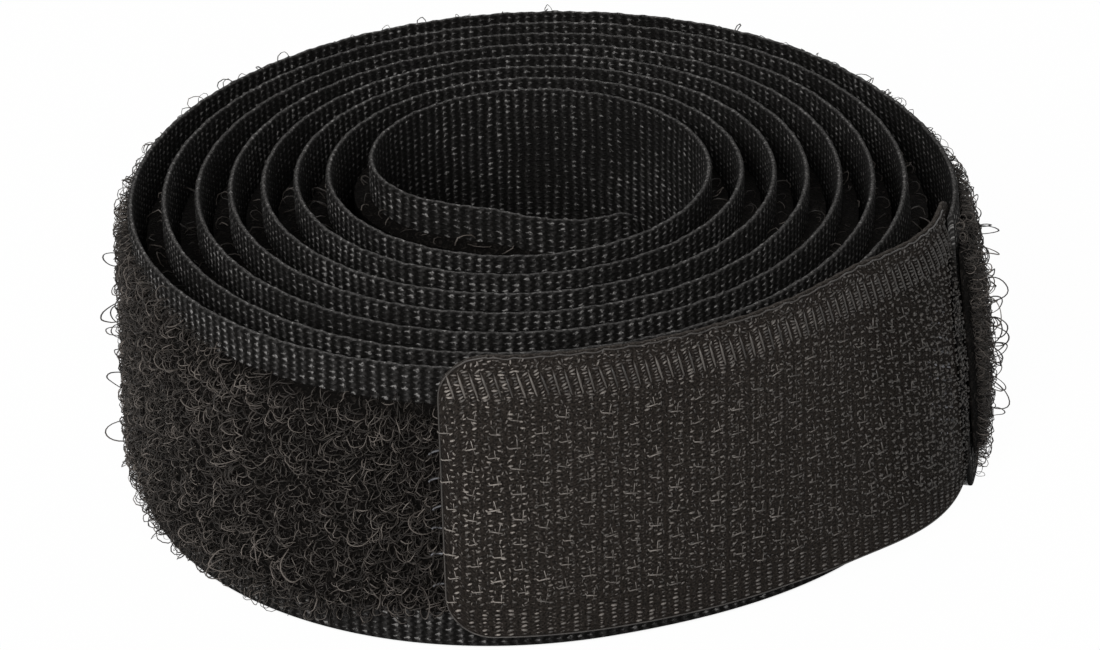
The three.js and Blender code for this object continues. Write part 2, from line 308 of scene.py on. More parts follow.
class TieRollSettings(bpy.types.PropertyGroup):
    """Sizes, counts and colours of the roll's finish."""

    weave_column: length_setting("Weave column", "Distance between two columns of the weave", 0.00068)
    weave_row: length_setting("Weave row", "Distance between two rows of the weave", 0.00042)
    weave_relief: length_setting("Weave relief", "How far the weave's threads stand proud", 0.00016)
    filament: length_setting("Filament", "Diameter of one filament of the loop pile", 0.000055)
    loop_radius: length_setting("Loop radius", "Radius of a loop of the pile", 0.0004)
    loop_density: FloatProperty(
        name="Loops", description="Loops on each square millimetre of the outer turn", default=10.5)
    overhang: length_setting("Overhang", "How far the free loops spread over the bare margins", 0.0021)
    curl: length_setting("Curl", "How far the loops stray from a round shape", 0.00075)
    stray_radius: length_setting("Stray loop radius", "Radius of the few loops that are pulled out", 0.0005)
    rib_pitch: length_setting("Rib pitch", "Distance between two ribs of the tab's upper selvedge", 0.0007)
    stitch_column: length_setting("Stitch column", "Distance between two columns of stitches", 0.0014)
    stitch_row: length_setting("Stitch row", "Distance between two stitches of a column", 0.00173)
    hook_pitch: length_setting("Hook pitch", "Distance between two columns of hooks", 0.0009)
    hook_filament: length_setting("Hook filament", "Diameter of a hook's filament", 0.00014)
    seed: IntProperty(name="Seed", description="Seed of everything that is scattered", default=7)
    cloth_colour: colour_setting(
        "Cloth", "Colour of the woven ground between its threads", (0.004, 0.0037, 0.0034))
    tab_colour: colour_setting("Tab", "Colour of the hook tape's ground", (0.0148, 0.0121, 0.0102))
    # The loop tape's threads, and the painted highlight along its upper edge
    thread_and_edge_highlight_colour: colour_setting("Cord", "Colour of the loop tape's threads and edges", (0.21, 0.203, 0.197))
    thread_colour: colour_setting("Thread", "Colour of the hook tape's threads", (0.215, 0.192, 0.172))
    pile_colour: colour_setting("Pile", "Colour of the loop pile's filaments", (0.14, 0.122, 0.108))
    hook_colour: colour_setting("Hooks", "Colour of the hooks", (0.2, 0.2, 0.215))


# Node helpers
class Value:
    """What a node gives. It is reckoned with like a number, and each step adds a node."""

    def __init__(self, tree, socket):
        self.tree = tree
        self.socket = socket

    def math(self, operation, *others):
        return result(self.tree, "ShaderNodeMath", dict(enumerate((self, *others))), operation=operation)

    def __add__(self, other):
        return self.math("ADD", other)

    def __sub__(self, other):
        return self.math("SUBTRACT", other)

    def __rsub__(self, other):
        return result(self.tree, "ShaderNodeMath", {0: other, 1: self}, operation="SUBTRACT")

    def __mul__(self, other):
        return self.math("MULTIPLY", other)

    def __truediv__(self, other):
        return self.math("DIVIDE", other)

    def __mod__(self, other):
        return self.math("MODULO", other)

    def __pow__(self, other):
        return self.math("POWER", other)

    def __neg__(self):
        return self.math("MULTIPLY", -1.0)

    def __abs__(self):
        return self.math("ABSOLUTE")


def connect(tree, node, inputs):
    """Sets a node's inputs, or links them to what other nodes give."""
    for key, value in inputs.items():
        if isinstance(value, Value):
            tree.links.new(value.socket, node.inputs[key])
        else:
            node.inputs[key].default_value = value


def add(tree, kind, inputs=None, **settings):
    """A new node in a tree, with its settings made and its inputs set or linked."""
    node = tree.nodes.new(kind)
    for key, value in settings.items():
        setattr(node, key, value)
    connect(tree, node, inputs or {})
    return node


def result(tree, kind, inputs=None, output=0, **settings):
    """What a new node gives at one of its outputs."""
    return Value(tree, add(tree, kind, inputs, **settings).outputs[output])


def vector(tree, operation, *values):
    return result(tree, "ShaderNodeVectorMath", dict(enumerate(values)), operation=operation)


def combine(tree, *values):
    return result(tree, "ShaderNodeCombineXYZ", dict(enumerate(values)))


def separate(tree, value):
    return [Value(tree, socket) for socket in add(tree, "ShaderNodeSeparateXYZ", {0: value}).outputs]


def mapped(tree, value, low, high, to_low=0.0, to_high=1.0):
    """A value that runs from low to high, held there and changed to run from to_low to to_high."""
    inputs = {"Value": value, "From Min": low, "From Max": high, "To Min": to_low, "To Max": to_high}
    return result(tree, "ShaderNodeMapRange", inputs)


def random_float(tree, low, high, seed):
    inputs = {2: low, 3: high, 8: seed}
    return result(tree, "FunctionNodeRandomValue", inputs, 1, data_type="FLOAT")


def random_vector(tree, low, high, seed):
    inputs = {0: low, 1: high, 8: seed}
    return result(tree, "FunctionNodeRandomValue", inputs, data_type="FLOAT_VECTOR")


def attribute(tree, name):
    return result(tree, "GeometryNodeInputNamedAttribute", {"Name": name}, data_type="FLOAT")


def position(tree):
    return result(tree, "GeometryNodeInputPosition")


# Growth trees: each grows strands on a tape unrolled flat, where X is its length, Y its height, Z the depth
def label(key):
    return key.replace("_", " ").capitalize()


def new_tree(name, **inputs):
    """A geometry tree with named inputs, and what its Group Input node gives."""
    kinds = {float: "NodeSocketFloat", int: "NodeSocketInt"}
    tree = bpy.data.node_groups.new(name, "GeometryNodeTree")
    for side in ("INPUT", "OUTPUT"):
        tree.interface.new_socket(name="Geometry", in_out=side, socket_type="NodeSocketGeometry")
    tree.interface.new_socket(name="Material", in_out="INPUT", socket_type="NodeSocketMaterial")
    for key, default in inputs.items():
        kind = kinds[type(default)]
        tree.interface.new_socket(name=label(key), in_out="INPUT", socket_type=kind).default_value = default
    return tree, {socket.name: Value(tree, socket) for socket in tree.nodes.new("NodeGroupInput").outputs}


def close_tree(tree, shapes, material, finish=None, domain="INSTANCE"):
    """Ends a tree: what it grew keeps a random share and its place, and becomes one mesh."""
    inputs = {"Geometry": shapes, "Name": "strand", "Value": random_float(tree, 0.0, 1.0, 91)}
    marked = result(tree, "GeometryNodeStoreNamedAttribute", inputs, domain=domain)
    inputs = {"Geometry": marked, "Name": "place", "Value": position(tree)}
    marked = result(
        tree, "GeometryNodeStoreNamedAttribute", inputs, domain=domain, data_type="FLOAT_VECTOR")
    real = result(tree, "GeometryNodeRealizeInstances", {0: marked})
    if finish is not None:
        real = finish(real)
    finished = result(tree, "GeometryNodeSetMaterial", {"Geometry": real, "Material": material})
    add(tree, "NodeGroupOutput", {0: finished})
    return tree


def instance(tree, points, shape, turns, scale):
    rotation = result(tree, "FunctionNodeEulerToRotation", {0: turns})
    inputs = {"Points": points, "Instance": shape, "Rotation": rotation, "Scale": scale}
    return result(tree, "GeometryNodeInstanceOnPoints", inputs)


def wire(tree, curve, thickness, sides):
    """A tube of a filament's thickness round a curve."""
    inputs = {"Resolution": sides, "Radius": thickness * 0.5}
    ring = result(tree, "GeometryNodeCurvePrimitiveCircle", inputs)
    inputs = {"Curve": curve, "Profile Curve": ring, "Fill Caps": True}
    return result(tree, "GeometryNodeCurveToMesh", inputs)


def loop_tree():
    """Loops of one filament that are scattered over the tape and curl more the further they stand out."""
    tree, given = new_tree(
        "Loop pile", density=5e6, radius=0.00045, filament=0.00006, curl=0.001, tilt=0.6, size_from=0.6,
        size_to=1.4, stretch=1.0, curl_scale=900.0, bends=10, seed=1)
    radius = given["Radius"]
    tilt = given["Tilt"]
    seed = given["Seed"]
    foot_gap = 36
    spots = result(tree, "GeometryNodeDistributePointsOnFaces", {
        "Mesh": given["Geometry"], "Density": given["Density"] * attribute(tree, "fullness"), "Seed": seed})
    arc = result(tree, "GeometryNodeCurveArc", {
        "Resolution": given["Bends"], "Radius": radius, "Start Angle": math.radians(foot_gap / 2 - 90),
        "Sweep Angle": math.radians(360 - foot_gap)}, mode="RADIUS")
    shape = result(tree, "GeometryNodeTransform", {
        "Geometry": wire(tree, arc, given["Filament"], 3), "Rotation": (math.pi / 2, 0, 0),
        "Translation": combine(tree, 0.0, 0.0, radius * 0.9)})
    turns = random_vector(tree, combine(tree, -tilt, -tilt, 0.0), combine(tree, tilt, tilt, math.tau), seed)
    size = random_float(tree, given["Size from"], given["Size to"], seed + 1.0) * attribute(tree, "reach")
    loops = instance(tree, spots, shape, turns, combine(tree, size, size, size * given["Stretch"]))

    def curled(real):
        here = position(tree)
        drift = result(tree, "ShaderNodeTexNoise", {
            "Vector": here, "W": attribute(tree, "strand") * 60.0, "Scale": given["Curl scale"],
            "Detail": 1.0}, 1, noise_dimensions="4D")
        swing = vector(tree, "SUBTRACT", drift, (0.5, 0.5, 0.5))
        grows = mapped(tree, separate(tree, here)[2], 0.0, radius * 1.2)
        reach = given["Curl"] * grows * attribute(tree, "reach")
        offset = result(tree, "ShaderNodeVectorMath", {0: swing, "Scale": reach}, operation="SCALE")
        return result(tree, "GeometryNodeSetPosition", {"Geometry": real, "Offset": offset})

    return close_tree(tree, loops, given["Material"], curled)


def lattice(tree, given):
    """Points in columns and rows from the Start and Foot, each second column higher by a share of a row."""
    column = given["Column"]
    row = given["Row"]
    stray = given["Stray"]
    columns = (given["Length"] / column).math("FLOOR")
    rows = (given["Height"] / row).math("FLOOR")
    grid = result(tree, "GeometryNodeMeshGrid", {
        "Size X": columns * column, "Size Y": rows * row, "Vertices X": columns + 1.0,
        "Vertices Y": rows + 1.0})
    across, up, _ = separate(tree, position(tree))
    across = across + columns * column * 0.5
    up = up + rows * row * 0.5
    odd = (across / column).math("ROUND") % 2.0 * given["Stagger"]
    spot = combine(
        tree, across + up * given["Slant"] + given["Start"], up + odd * row + given["Foot"], 0.0)
    jitter = random_vector(
        tree, combine(tree, -stray, -stray, 0.0), combine(tree, stray, stray, 0.0), given["Seed"])
    return result(tree, "GeometryNodeSetPosition", {"Geometry": grid, "Position": spot, "Offset": jitter})


LATTICE = {
    "start": 0.0, "foot": 0.0, "length": 0.038, "height": 0.015, "column": 0.0007, "row": 0.0004,
    "stagger": 0.5, "slant": 0.0, "stray": 0.00004, "seed": 1}


def fleck_tree():
    """Short raised threads of the weave, one for each place of a lattice."""
    tree, given = new_tree(
        "Weave flecks", long=0.0003, wide=0.00012, proud=0.00006, turn=0.2, turn_spread=0.3,
        size_from=0.5, size_to=1.2, **LATTICE)
    ball = result(tree, "GeometryNodeMeshIcoSphere", {"Radius": 0.5, "Subdivisions": 1})
    smooth = result(tree, "GeometryNodeSetShadeSmooth", {0: ball})
    turn = given["Turn"]
    spread = given["Turn spread"]
    turns = combine(tree, 0.0, 0.0, random_float(tree, turn - spread, turn + spread, 12))
    size = random_float(tree, given["Size from"], given["Size to"], 13)
    scale = combine(tree, given["Long"] * size, given["Wide"] * size, given["Proud"] * (size * 2.0))
    flecks = instance(tree, lattice(tree, given), smooth, turns, scale)
    return close_tree(tree, flecks, given["Material"])


def stitch_tree():
    """The hooks' feet on the tab's outer face: each a bar with an upturned end, crossed by a longer leg."""
    tree, given = new_tree(
        "Hook stitches", bar=0.0007, leg=0.0006, thread=0.0001, turn_spread=0.12, **LATTICE)
    bar = given["Bar"]
    leg = given["Leg"]
    thread = given["Thread"]
    spread = given["Turn spread"]
    crossing = bar * 0.3
    sunk = thread * -0.7
    bar_end = combine(tree, bar, 0.0, 0.0)
    lines = (
        (combine(tree, crossing, leg * -0.25, sunk), combine(tree, crossing, leg, sunk)),
        ((0, 0, 0), bar_end),
        (bar_end, combine(tree, bar * 1.15, leg * 0.2, sunk)))
    joint = tree.nodes.new("GeometryNodeJoinGeometry")
    for start, end in lines:
        line = add(tree, "GeometryNodeCurvePrimitiveLine", {"Start": start, "End": end}, mode="POINTS")
        tree.links.new(line.outputs[0], joint.inputs[0])
    shape = result(tree, "GeometryNodeTransform", {
        "Geometry": wire(tree, Value(tree, joint.outputs[0]), thread, 4),
        "Translation": combine(tree, 0.0, 0.0, thread * 0.45)})
    turns = combine(tree, 0.0, 0.0, random_float(tree, -spread, spread, 14))
    stitches = instance(tree, lattice(tree, given), shape, turns, random_float(tree, 0.65, 1.1, 15))
    return close_tree(tree, stitches, given["Material"])


def rim_tree():
    """A thread that follows a path."""
    tree, given = new_tree("Rim thread", thread=0.00012)
    path = result(tree, "GeometryNodeMeshToCurve", {0: given["Geometry"]})
    return close_tree(tree, wire(tree, path, given["Thread"], 5), given["Material"], domain="POINT")


def hook_tree():
    """Bent nylon hooks in rows, turned now one way and now the other."""
    tree, given = new_tree(
        "Hooks", tall=0.00043, reach=0.00036, thread=0.00014, turn_spread=0.6, turned=1.0, **LATTICE)
    tall = given["Tall"]
    reach = given["Reach"]
    spread = given["Turn spread"]
    top = tall * 1.26
    bend = result(tree, "GeometryNodeCurvePrimitiveBezierSegment", {
        "Resolution": 7, "Start": (0, 0, 0), "Start Handle": combine(tree, 0.0, 0.0, top),
        "End Handle": combine(tree, reach, 0.0, top), "End": combine(tree, reach, 0.0, tall * 0.4)},
        mode="POSITION")
    shape = wire(tree, bend, given["Thread"], 4)
    side = random_float(tree, 0.0, 1.0, 16).math("ROUND") * math.pi * given["Turned"]
    turns = combine(tree, 0.0, 0.0, side + random_float(tree, -spread, spread, 17))
    hooks = instance(tree, lattice(tree, given), shape, turns, (1, 1, 1))
    return close_tree(tree, hooks, given["Material"])


# Mesh helpers
def mesh_from(name, points, faces, material=None, uv=None, attributes=None):
    """A smooth mesh from arrays of points and of faces with equally many corners."""
    mesh = bpy.data.meshes.new(name)
    count, corners = faces.shape
    mesh.vertices.add(len(points))
    mesh.vertices.foreach_set("co", np.ascontiguousarray(points, np.float32).ravel())
    mesh.loops.add(count * corners)
    mesh.loops.foreach_set("vertex_index", np.ascontiguousarray(faces, np.int32).ravel())
    mesh.polygons.add(count)
    mesh.polygons.foreach_set("loop_start", np.arange(0, count * corners, corners, dtype=np.int32))
    mesh.polygons.foreach_set("use_smooth", np.ones(count, dtype=bool))
    mesh.update(calc_edges=True)
    for key, values in (attributes or {}).items():
        layer = mesh.attributes.new(key, "FLOAT", "POINT")
        layer.data.foreach_set("value", np.ascontiguousarray(values, np.float32))
    if uv is not None:
        layer = mesh.uv_layers.new(name="tape")
        layer.data.foreach_set("uv", np.ascontiguousarray(uv, np.float32).ravel())
    if material is not None:
        mesh.materials.append(material)
    return mesh


def show(name, mesh):
    """An object at the origin that shows a mesh."""
    piece = bpy.data.objects.new(name, mesh)
    bpy.context.scene.collection.objects.link(piece)
    return piece


def flat_sheet(start, end, low, high, spacing, fullness, reach):
    """A stretch of tape unrolled flat. fullness and reach are the pile's shares of its density and size."""
    columns = max(2, int((end - start) / spacing) + 1)
    rows = max(2, int((high - low) / spacing) + 1)
    lengths = np.linspace(start, end, columns)
    heights = np.linspace(low, high, rows)
    length, height = (grid.ravel() for grid in np.meshgrid(lengths, heights, indexing="ij"))
    points = np.stack([length, height, 0 * length], axis=-1)
    index = np.arange(columns * rows).reshape(columns, rows)
    corners = [index[:-1, :-1], index[1:, :-1], index[1:, 1:], index[:-1, 1:]]
    faces = np.stack(corners, axis=-1).reshape(-1, 4)
    values = {"fullness": fullness(length, height), "reach": reach(length, height)}
    return mesh_from("unrolled", points, faces, attributes=values)


def path_mesh(length, height):
    """A path on the unrolled tape."""
    mesh = bpy.data.meshes.new("path")
    points = [(x, y, 0) for x, y in zip(length, height)]
    mesh.from_pydata(points, [(i, i + 1) for i in range(len(points) - 1)], [])
    return mesh


def grown(tree, mesh=None, **inputs):
    """What a tree grows, as arrays: points, triangles, and each point's strand and place."""
    source = show("growing", mesh or bpy.data.meshes.new("nothing"))
    modifier = source.modifiers.new("Growth", "NODES")
    modifier.node_group = tree
    names = {label(key): value for key, value in inputs.items()}
    for item in tree.interface.items_tree:
        if item.in_out == "INPUT" and item.name in names:
            modifier[item.identifier] = names.pop(item.name)
    if names:
        raise ValueError(f"{tree.name} has no input {sorted(names)}")
    depsgraph = bpy.context.evaluated_depsgraph_get()
    plain = bpy.data.meshes.new_from_object(source.evaluated_get(depsgraph), depsgraph=depsgraph)
    plain.calc_loop_triangles()

    def read(items, key, size, kind=np.float32):
        values = np.empty((len(items), size), kind)
        items.foreach_get(key, values.ravel())
        return values

    points = read(plain.vertices, "co", 3).astype(float)
    triangles = read(plain.loop_triangles, "vertices", 3, np.int32)
    strand = read(plain.attributes["strand"].data, "value", 1)[:, 0]
    place = read(plain.attributes["place"].data, "vector", 3)
    bpy.data.objects.remove(source)
    bpy.data.meshes.remove(plain)
    return points, triangles, strand, place


def kept(growth, keep):
    """The strands whose place passes a test of length and height."""
    points, triangles, strand, place = growth
    stays = keep(place[:, 0], place[:, 1])
    triangles = triangles[stays[triangles[:, 0]]]
    used, triangles = np.unique(triangles, return_inverse=True)
    return points[used], triangles.reshape(-1, 3), strand[used], place[used]


def joined(growths):
    """Several growths as one."""
    points, triangles, strand, place = zip(*growths)
    offsets = np.cumsum([0] + [len(part) for part in points[:-1]])
    triangles = [part + offset for part, offset in zip(triangles, offsets)]
    return tuple(np.concatenate(parts) for parts in (points, triangles, strand, place))


def toned(growth, shade, least=0.0):
    """A growth whose strands get painted light and shade by their place, once they have their least tone.
    """
    points, triangles, strand, place = growth
    lifted = least + (1 - least) * strand
    return points, triangles, lifted * shade(place[:, 0], place[:, 1]), place


def wrapped(name, tape, growth, material, start, end, base=0.0, inwards=False):
    """The piece that a growth makes on a tape between two lengths, from base outwards or inwards."""
    points, triangles, strand, _ = kept(growth, lambda length, height: (length >= start) & (length < end))
    depth = base - points[:, 2] if inwards else base + points[:, 2]
    placed = tape.place(points[:, 0], points[:, 1], depth)
    placed[:, 2] = np.maximum(placed[:, 2], 0)
    # A tape's length, height and outward depth are left-handed, which turns outward growth inside out
    if not inwards:
        triangles = triangles[:, ::-1]
    return show(name, mesh_from(name, placed, triangles, material, attributes={"strand": strand}))


def corner_cut(distance, radius):
    """How far a rounded corner cuts in at a distance from the tape's end."""
    return radius - np.sqrt(radius**2 - np.maximum(radius - distance, 0) ** 2)


def stations_between(start, end, spacing):
    return np.linspace(start, end, max(2, int(round((end - start) / spacing)) + 1))


def end_stations(radius):
    """Distances from a tape's end that follow its rounded corner."""
    return radius * (1 - np.cos(np.linspace(0, math.pi / 2, CORNER_STEPS + 1)))


def two_triangles(a, b, c, d):
    """Arrays of quads with the corners a, b, d and c, each quad as two triangles."""
    halves = ((a, d, c), (a, b, d))
    return [np.stack(corners, axis=2).reshape(-1, 3, *a.shape[2:]) for corners in halves]


def band(name, tape, lengths, cuts, material, low=0.0, high=TAPE_WIDTH, outer=0.0, inner=-THICKNESS):
    """A closed woven band with round edges. cuts are how much its edges are cut back at each length."""
    radius = (outer - inner) / 2
    turn = np.radians(np.linspace(90, -90, EDGE_STEPS + 1))
    upper_edge = high - radius + radius * np.cos(turn)
    lower_edge = low + radius - radius * np.cos(turn[::-1])
    # The corners start at the outer face's foot and run up that face
    heights = np.roll(np.concatenate([upper_edge, lower_edge]), 1)
    depths = np.roll(outer - radius + radius * np.sin(np.concatenate([turn, turn[::-1]])), 1)
    steps = np.hypot(np.diff(heights, append=heights[0]), np.diff(depths, append=depths[0]))
    travel = np.concatenate([[0], np.cumsum(steps)])
    upper = heights > (low + high) / 2
    every_height = np.where(upper, heights - cuts[:, None], heights + cuts[:, None])
    stations, corners = every_height.shape
    points = tape.place(lengths[:, None] + 0 * every_height, every_height, depths + 0 * every_height)
    uv = np.stack(np.broadcast_arrays(lengths[:, None], travel), axis=-1) / MM
    index = np.arange(stations * corners).reshape(stations, corners)
    after = np.roll(index, -1, axis=1)
    triangles = two_triangles(index[:-1], after[:-1], index[1:], after[1:])
    uvs = two_triangles(uv[:-1, :-1], uv[:-1, 1:], uv[1:, :-1], uv[1:, 1:])
    fan = np.stack([np.zeros(corners - 2, int), np.arange(1, corners - 1), np.arange(2, corners)], axis=-1)
    for ring, turned in ((0, fan[:, ::-1]), (-1, fan)):
        triangles.append(index[ring][turned])
        uvs.append(uv[ring][turned])
    faces = np.concatenate(triangles)
    mesh = mesh_from(name, points.reshape(-1, 3), faces, material, uv=np.concatenate(uvs))
    mesh.set_sharp_from_angle(angle=SHARP_EDGE)
    return show(name, mesh)


# Materials
def new_material(name):
    material = bpy.data.materials.new(name)
    material.use_nodes = True
    return material, material.node_tree, material.node_tree.nodes["Principled BSDF"]


def noise(tree, place, scale, detail=1.0, output=0, distortion=0.0):
    """Noise at a place: its level, or with output 1 the three levels of its colour."""
    inputs = {"Vector": place, "Scale": scale, "Detail": detail, "Distortion": distortion}
    return result(tree, "ShaderNodeTexNoise", inputs, output)


def mixed(tree, share, low, high):
    """The colour that lies at a share of the way from one colour to another."""
    return result(tree, "ShaderNodeMix", {0: share, 6: low, 7: high}, 2, data_type="RGBA")


def scaled(colour, factor=1.0):
    """A colour made lighter or darker, with full cover."""
    return (*(value * factor for value in colour), 1)


def bump(tree, height, distance):
    return result(tree, "ShaderNodeBump", {"Height": height, "Distance": distance})


def weave_material(
        name, settings, ground, bright, columns=1.0, stagger=0.0, relief=1.0, threads=1.0, edge=0.0):
    """Woven nylon from the tape's UV map: columns of short raised threads, and a painted highlight along
    its upper edge.
    """
    material, tree, shader = new_material(name)
    uv = result(tree, "ShaderNodeUVMap", uv_map="tape")
    along, up, _ = separate(tree, uv)
    wander = noise(tree, uv, 0.35)
    column = (along + wander * 0.5) / (settings.weave_column * columns / MM)
    row = up / (settings.weave_row * columns / MM) + column.math("FLOOR") % 2.0 * stagger
    fine = vector(tree, "SUBTRACT", noise(tree, uv, 4.0 / columns, 2.0, 1), (0.5, 0.5, 0.5))
    stray, sway, _ = separate(tree, fine)
    # Each thread is a slanted dome in its cell of the weave
    in_column = column.math("FRACT") - 0.5 + stray * 0.45
    rise = abs(row.math("FRACT") - 0.5 + sway * 0.5)
    side = abs(in_column + rise * 0.5) / 0.35
    thread = (1.0 - side - rise / 0.4).math("MAXIMUM", 0.0) ** 0.7
    strands = noise(tree, vector(tree, "MULTIPLY", uv, (3.0, 14.0, 1.0)), 1.0, 2.0)
    # Its tone differs from cell to cell, from grain to grain and from patch to patch
    cell = combine(tree, column.math("FLOOR"), row.math("FLOOR"), 0.0)
    chance = result(tree, "ShaderNodeTexWhiteNoise", {"Vector": cell}, noise_dimensions="2D")
    grain = mapped(tree, noise(tree, uv, 7.0, 3.0), 0.36, 0.64)
    patches = mapped(tree, noise(tree, uv, 0.1), 0.35, 0.65, 0.45, 1.25)
    ragged = (chance ** 2.2 + 0.12) * (grain * 1.5 + 0.05)
    tone = (thread * ragged).math("MAXIMUM", (1.0 - side) * 0.05)
    # Painted light: the outer face, where the UV map starts, is made lighter than the inner one, as the
    # light falls on it from the front
    outside = up.math("LESS_THAN", TAPE_WIDTH / MM) * 0.6 + 1.0
    tone = tone * ((wander + 0.5) * outside) * (patches * threads)
    if edge:
        # Painted highlight: a light line along the middle of the tape's upper edge, broken by the twist of
        # its threads. That edge lies where its UV map has gone up the outer face and half round the edge
        near = abs(up + stray * 0.35 - (TAPE_WIDTH / MM + EDGE_OFFSET))
        painted_edge_highlight = 1.0 - mapped(tree, near, 0.04, 0.17)
        tone = tone.math("MAXIMUM", painted_edge_highlight * mapped(tree, strands, 0.32, 0.68, edge * 0.15, edge * 1.2))
    under = mixed(tree, grain, scaled(ground, 0.3), scaled(ground, 1.5))
    connect(tree, shader, {
        "Base Color": mixed(tree, tone, under, scaled(bright)),
        "Roughness": mapped(tree, thread, 0.0, 1.0, 0.85, 0.5),
        "Specular IOR Level": 0.06,
        "Normal": bump(tree, thread + strands * 0.3, settings.weave_relief * relief)})
    return material


def strand_material(name, colour, roughness, dark_share=0.15, gloss=0.25, rarity=2.5):
    """Nylon filaments: each strand has its own tone, light ones being rare, and shows a fine twist."""
    material, tree, shader = new_material(name)
    share = result(tree, "ShaderNodeAttribute", output="Fac", attribute_name="strand")
    twist = noise(tree, result(tree, "ShaderNodeTexCoord", output="Object"), 1500.0, 2.0)
    tone = share ** rarity + twist * 0.2
    connect(tree, shader, {
        "Base Color": mixed(tree, tone, scaled(colour, dark_share), scaled(colour)),
        "Roughness": mapped(tree, twist, 0.0, 1.0, roughness - 0.08, roughness + 0.12),
        "Specular IOR Level": gloss,
        "Normal": bump(tree, twist, 0.00002)})
    return material


def felt_material(name, colour):
    """The dense foot of the pile: matted filaments that no longer show one by one."""
    material, tree, shader = new_material(name)
    place = result(tree, "ShaderNodeTexCoord", output="Object")
    mats = noise(tree, place, 2600.0, 4.0, distortion=1.6)
    connect(tree, shader, {
        "Base Color": mixed(
            tree, mapped(tree, mats, 0.52, 0.75), scaled(colour, 0.02), scaled(colour, 0.16)),
        "Roughness": 0.9,
        "Specular IOR Level": 0.05,
        "Normal": bump(tree, mats, 0.0002)})
    return material


# Pieces of the roll
def tape_point(length):
    """A point of the tab at half its height."""
    x, y, _ = HOOK_TAPE.place(length, TAPE_WIDTH / 2, -THICKNESS / 2)
    return (float(x), float(y), TAPE_WIDTH / 2)


def tab_stretches():
    """The tab's stretches, each on two bodies: name, lengths from and to, bodies, and blend from and to."""
    first, second, third = (FIRST_BEND_AT + share * TAB_LENGTH for share in (0, 1 / 3, 2 / 3))
    near = (first + second) / 2
    far = (second + third) / 2
    return (
        ("root", 0.0, near, ("roll", "tab_near"), first - ROOT_BEND_REACH, first + BEND_REACH),
        ("middle", near, far, ("tab_near", "tab_middle"), second - BEND_REACH, second + BEND_REACH),
        ("tip", far, TAB_TIP_AT, ("tab_middle", "tab_tip"), third - BEND_REACH, third + BEND_REACH))


def bend_with_tab(piece, stretch):
    _, _, _, bodies, start, end = stretch
    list(bodies)
    tape_point(start)
    tape_point(end)
    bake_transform(piece)


def in_tab_outline(margin):
    """A test of whether a strand stands on the tab, inside its rounded corners."""
    def test(length, height):
        cut = corner_cut(np.maximum(TAB_TIP_AT - margin - length, 0), TAB_CORNER)
        inside = (height > cut + margin) & (height < TAPE_WIDTH - cut - margin)
        return inside & (length < TAB_TIP_AT - margin)
    return test


class TIEROLL_OT_loop_tape(bpy.types.Operator):
    """Winds the woven loop tape, with rounded corners at its inner end."""

    bl_idname = "tie_roll.loop_tape"
    bl_label = "Wind the Loop Tape"

    def execute(self, context):
        settings = context.scene.tie_roll
        corner = end_stations(INNER_CORNER)
        straight = stations_between(corner[-1], LOOP_TAPE.length, WEAVE_STATION)
        lengths = np.concatenate([corner[:-1], straight])
        material = weave_material(
            "loop_tape_weave", settings, settings.cloth_colour, settings.thread_and_edge_highlight_colour, threads=1.6,
            edge=0.45)
        piece = band("loop_tape_woven", LOOP_TAPE, lengths, corner_cut(lengths, INNER_CORNER), material)
        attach(piece, "roll")
        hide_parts("loop_tape")
        return {"FINISHED"}


class TIEROLL_OT_pile_felt(bpy.types.Operator):
    """Lays the dense foot of the loop pile between the tape's bare margins."""

    bl_idname = "tie_roll.pile_felt"
    bl_label = "Lay the Pile's Foot"

    def execute(self, context):
        settings = context.scene.tie_roll
        lengths = stations_between(BARE_INNER_END, LOOP_TAPE.length, FELT_STATION)
        tapers = smoothstep(LOOP_TAPE.length - lengths, 0, FELT_TAPER)
        # On the outer turn the loops stand free, so less of their depth is matted
        matted = np.where(lengths > OUTER_TURN_AT, 0.4, 1.0)
        depth = pile_depth(lengths) * matted * tapers
        low = SELVEDGE
        high = TAPE_WIDTH - SELVEDGE
        # The corners run from the foot of the lower slope over the crown to the foot of the upper slope
        slopes = (low, low + PILE_TAPER, high - PILE_TAPER, high)
        heights = np.repeat(np.array([slopes]), len(lengths), axis=0)
        sunk = 0 * depth - THICKNESS / 4
        depths = np.stack([sunk, depth, depth, sunk], axis=-1)
        points = LOOP_TAPE.place(lengths[:, None] + 0 * heights, heights, depths)
        stations, corners = heights.shape
        index = np.arange(stations * corners).reshape(stations, corners)
        after = np.roll(index, -1, axis=1)
        faces = np.stack([index[:-1], after[:-1], after[1:], index[1:]], axis=-1).reshape(-1, 4)
        faces = np.concatenate([faces, index[:1, ::-1], index[-1:]])
        material = felt_material("pile_felt", settings.pile_colour)
        mesh = mesh_from("loop_pile_felt", points.reshape(-1, 3), faces, material)
        mesh.set_sharp_from_angle(angle=SHARP_EDGE)
        piece = show("loop_pile_felt", mesh)
        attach(piece, "roll")
        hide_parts("loop_pile")
        return {"FINISHED"}


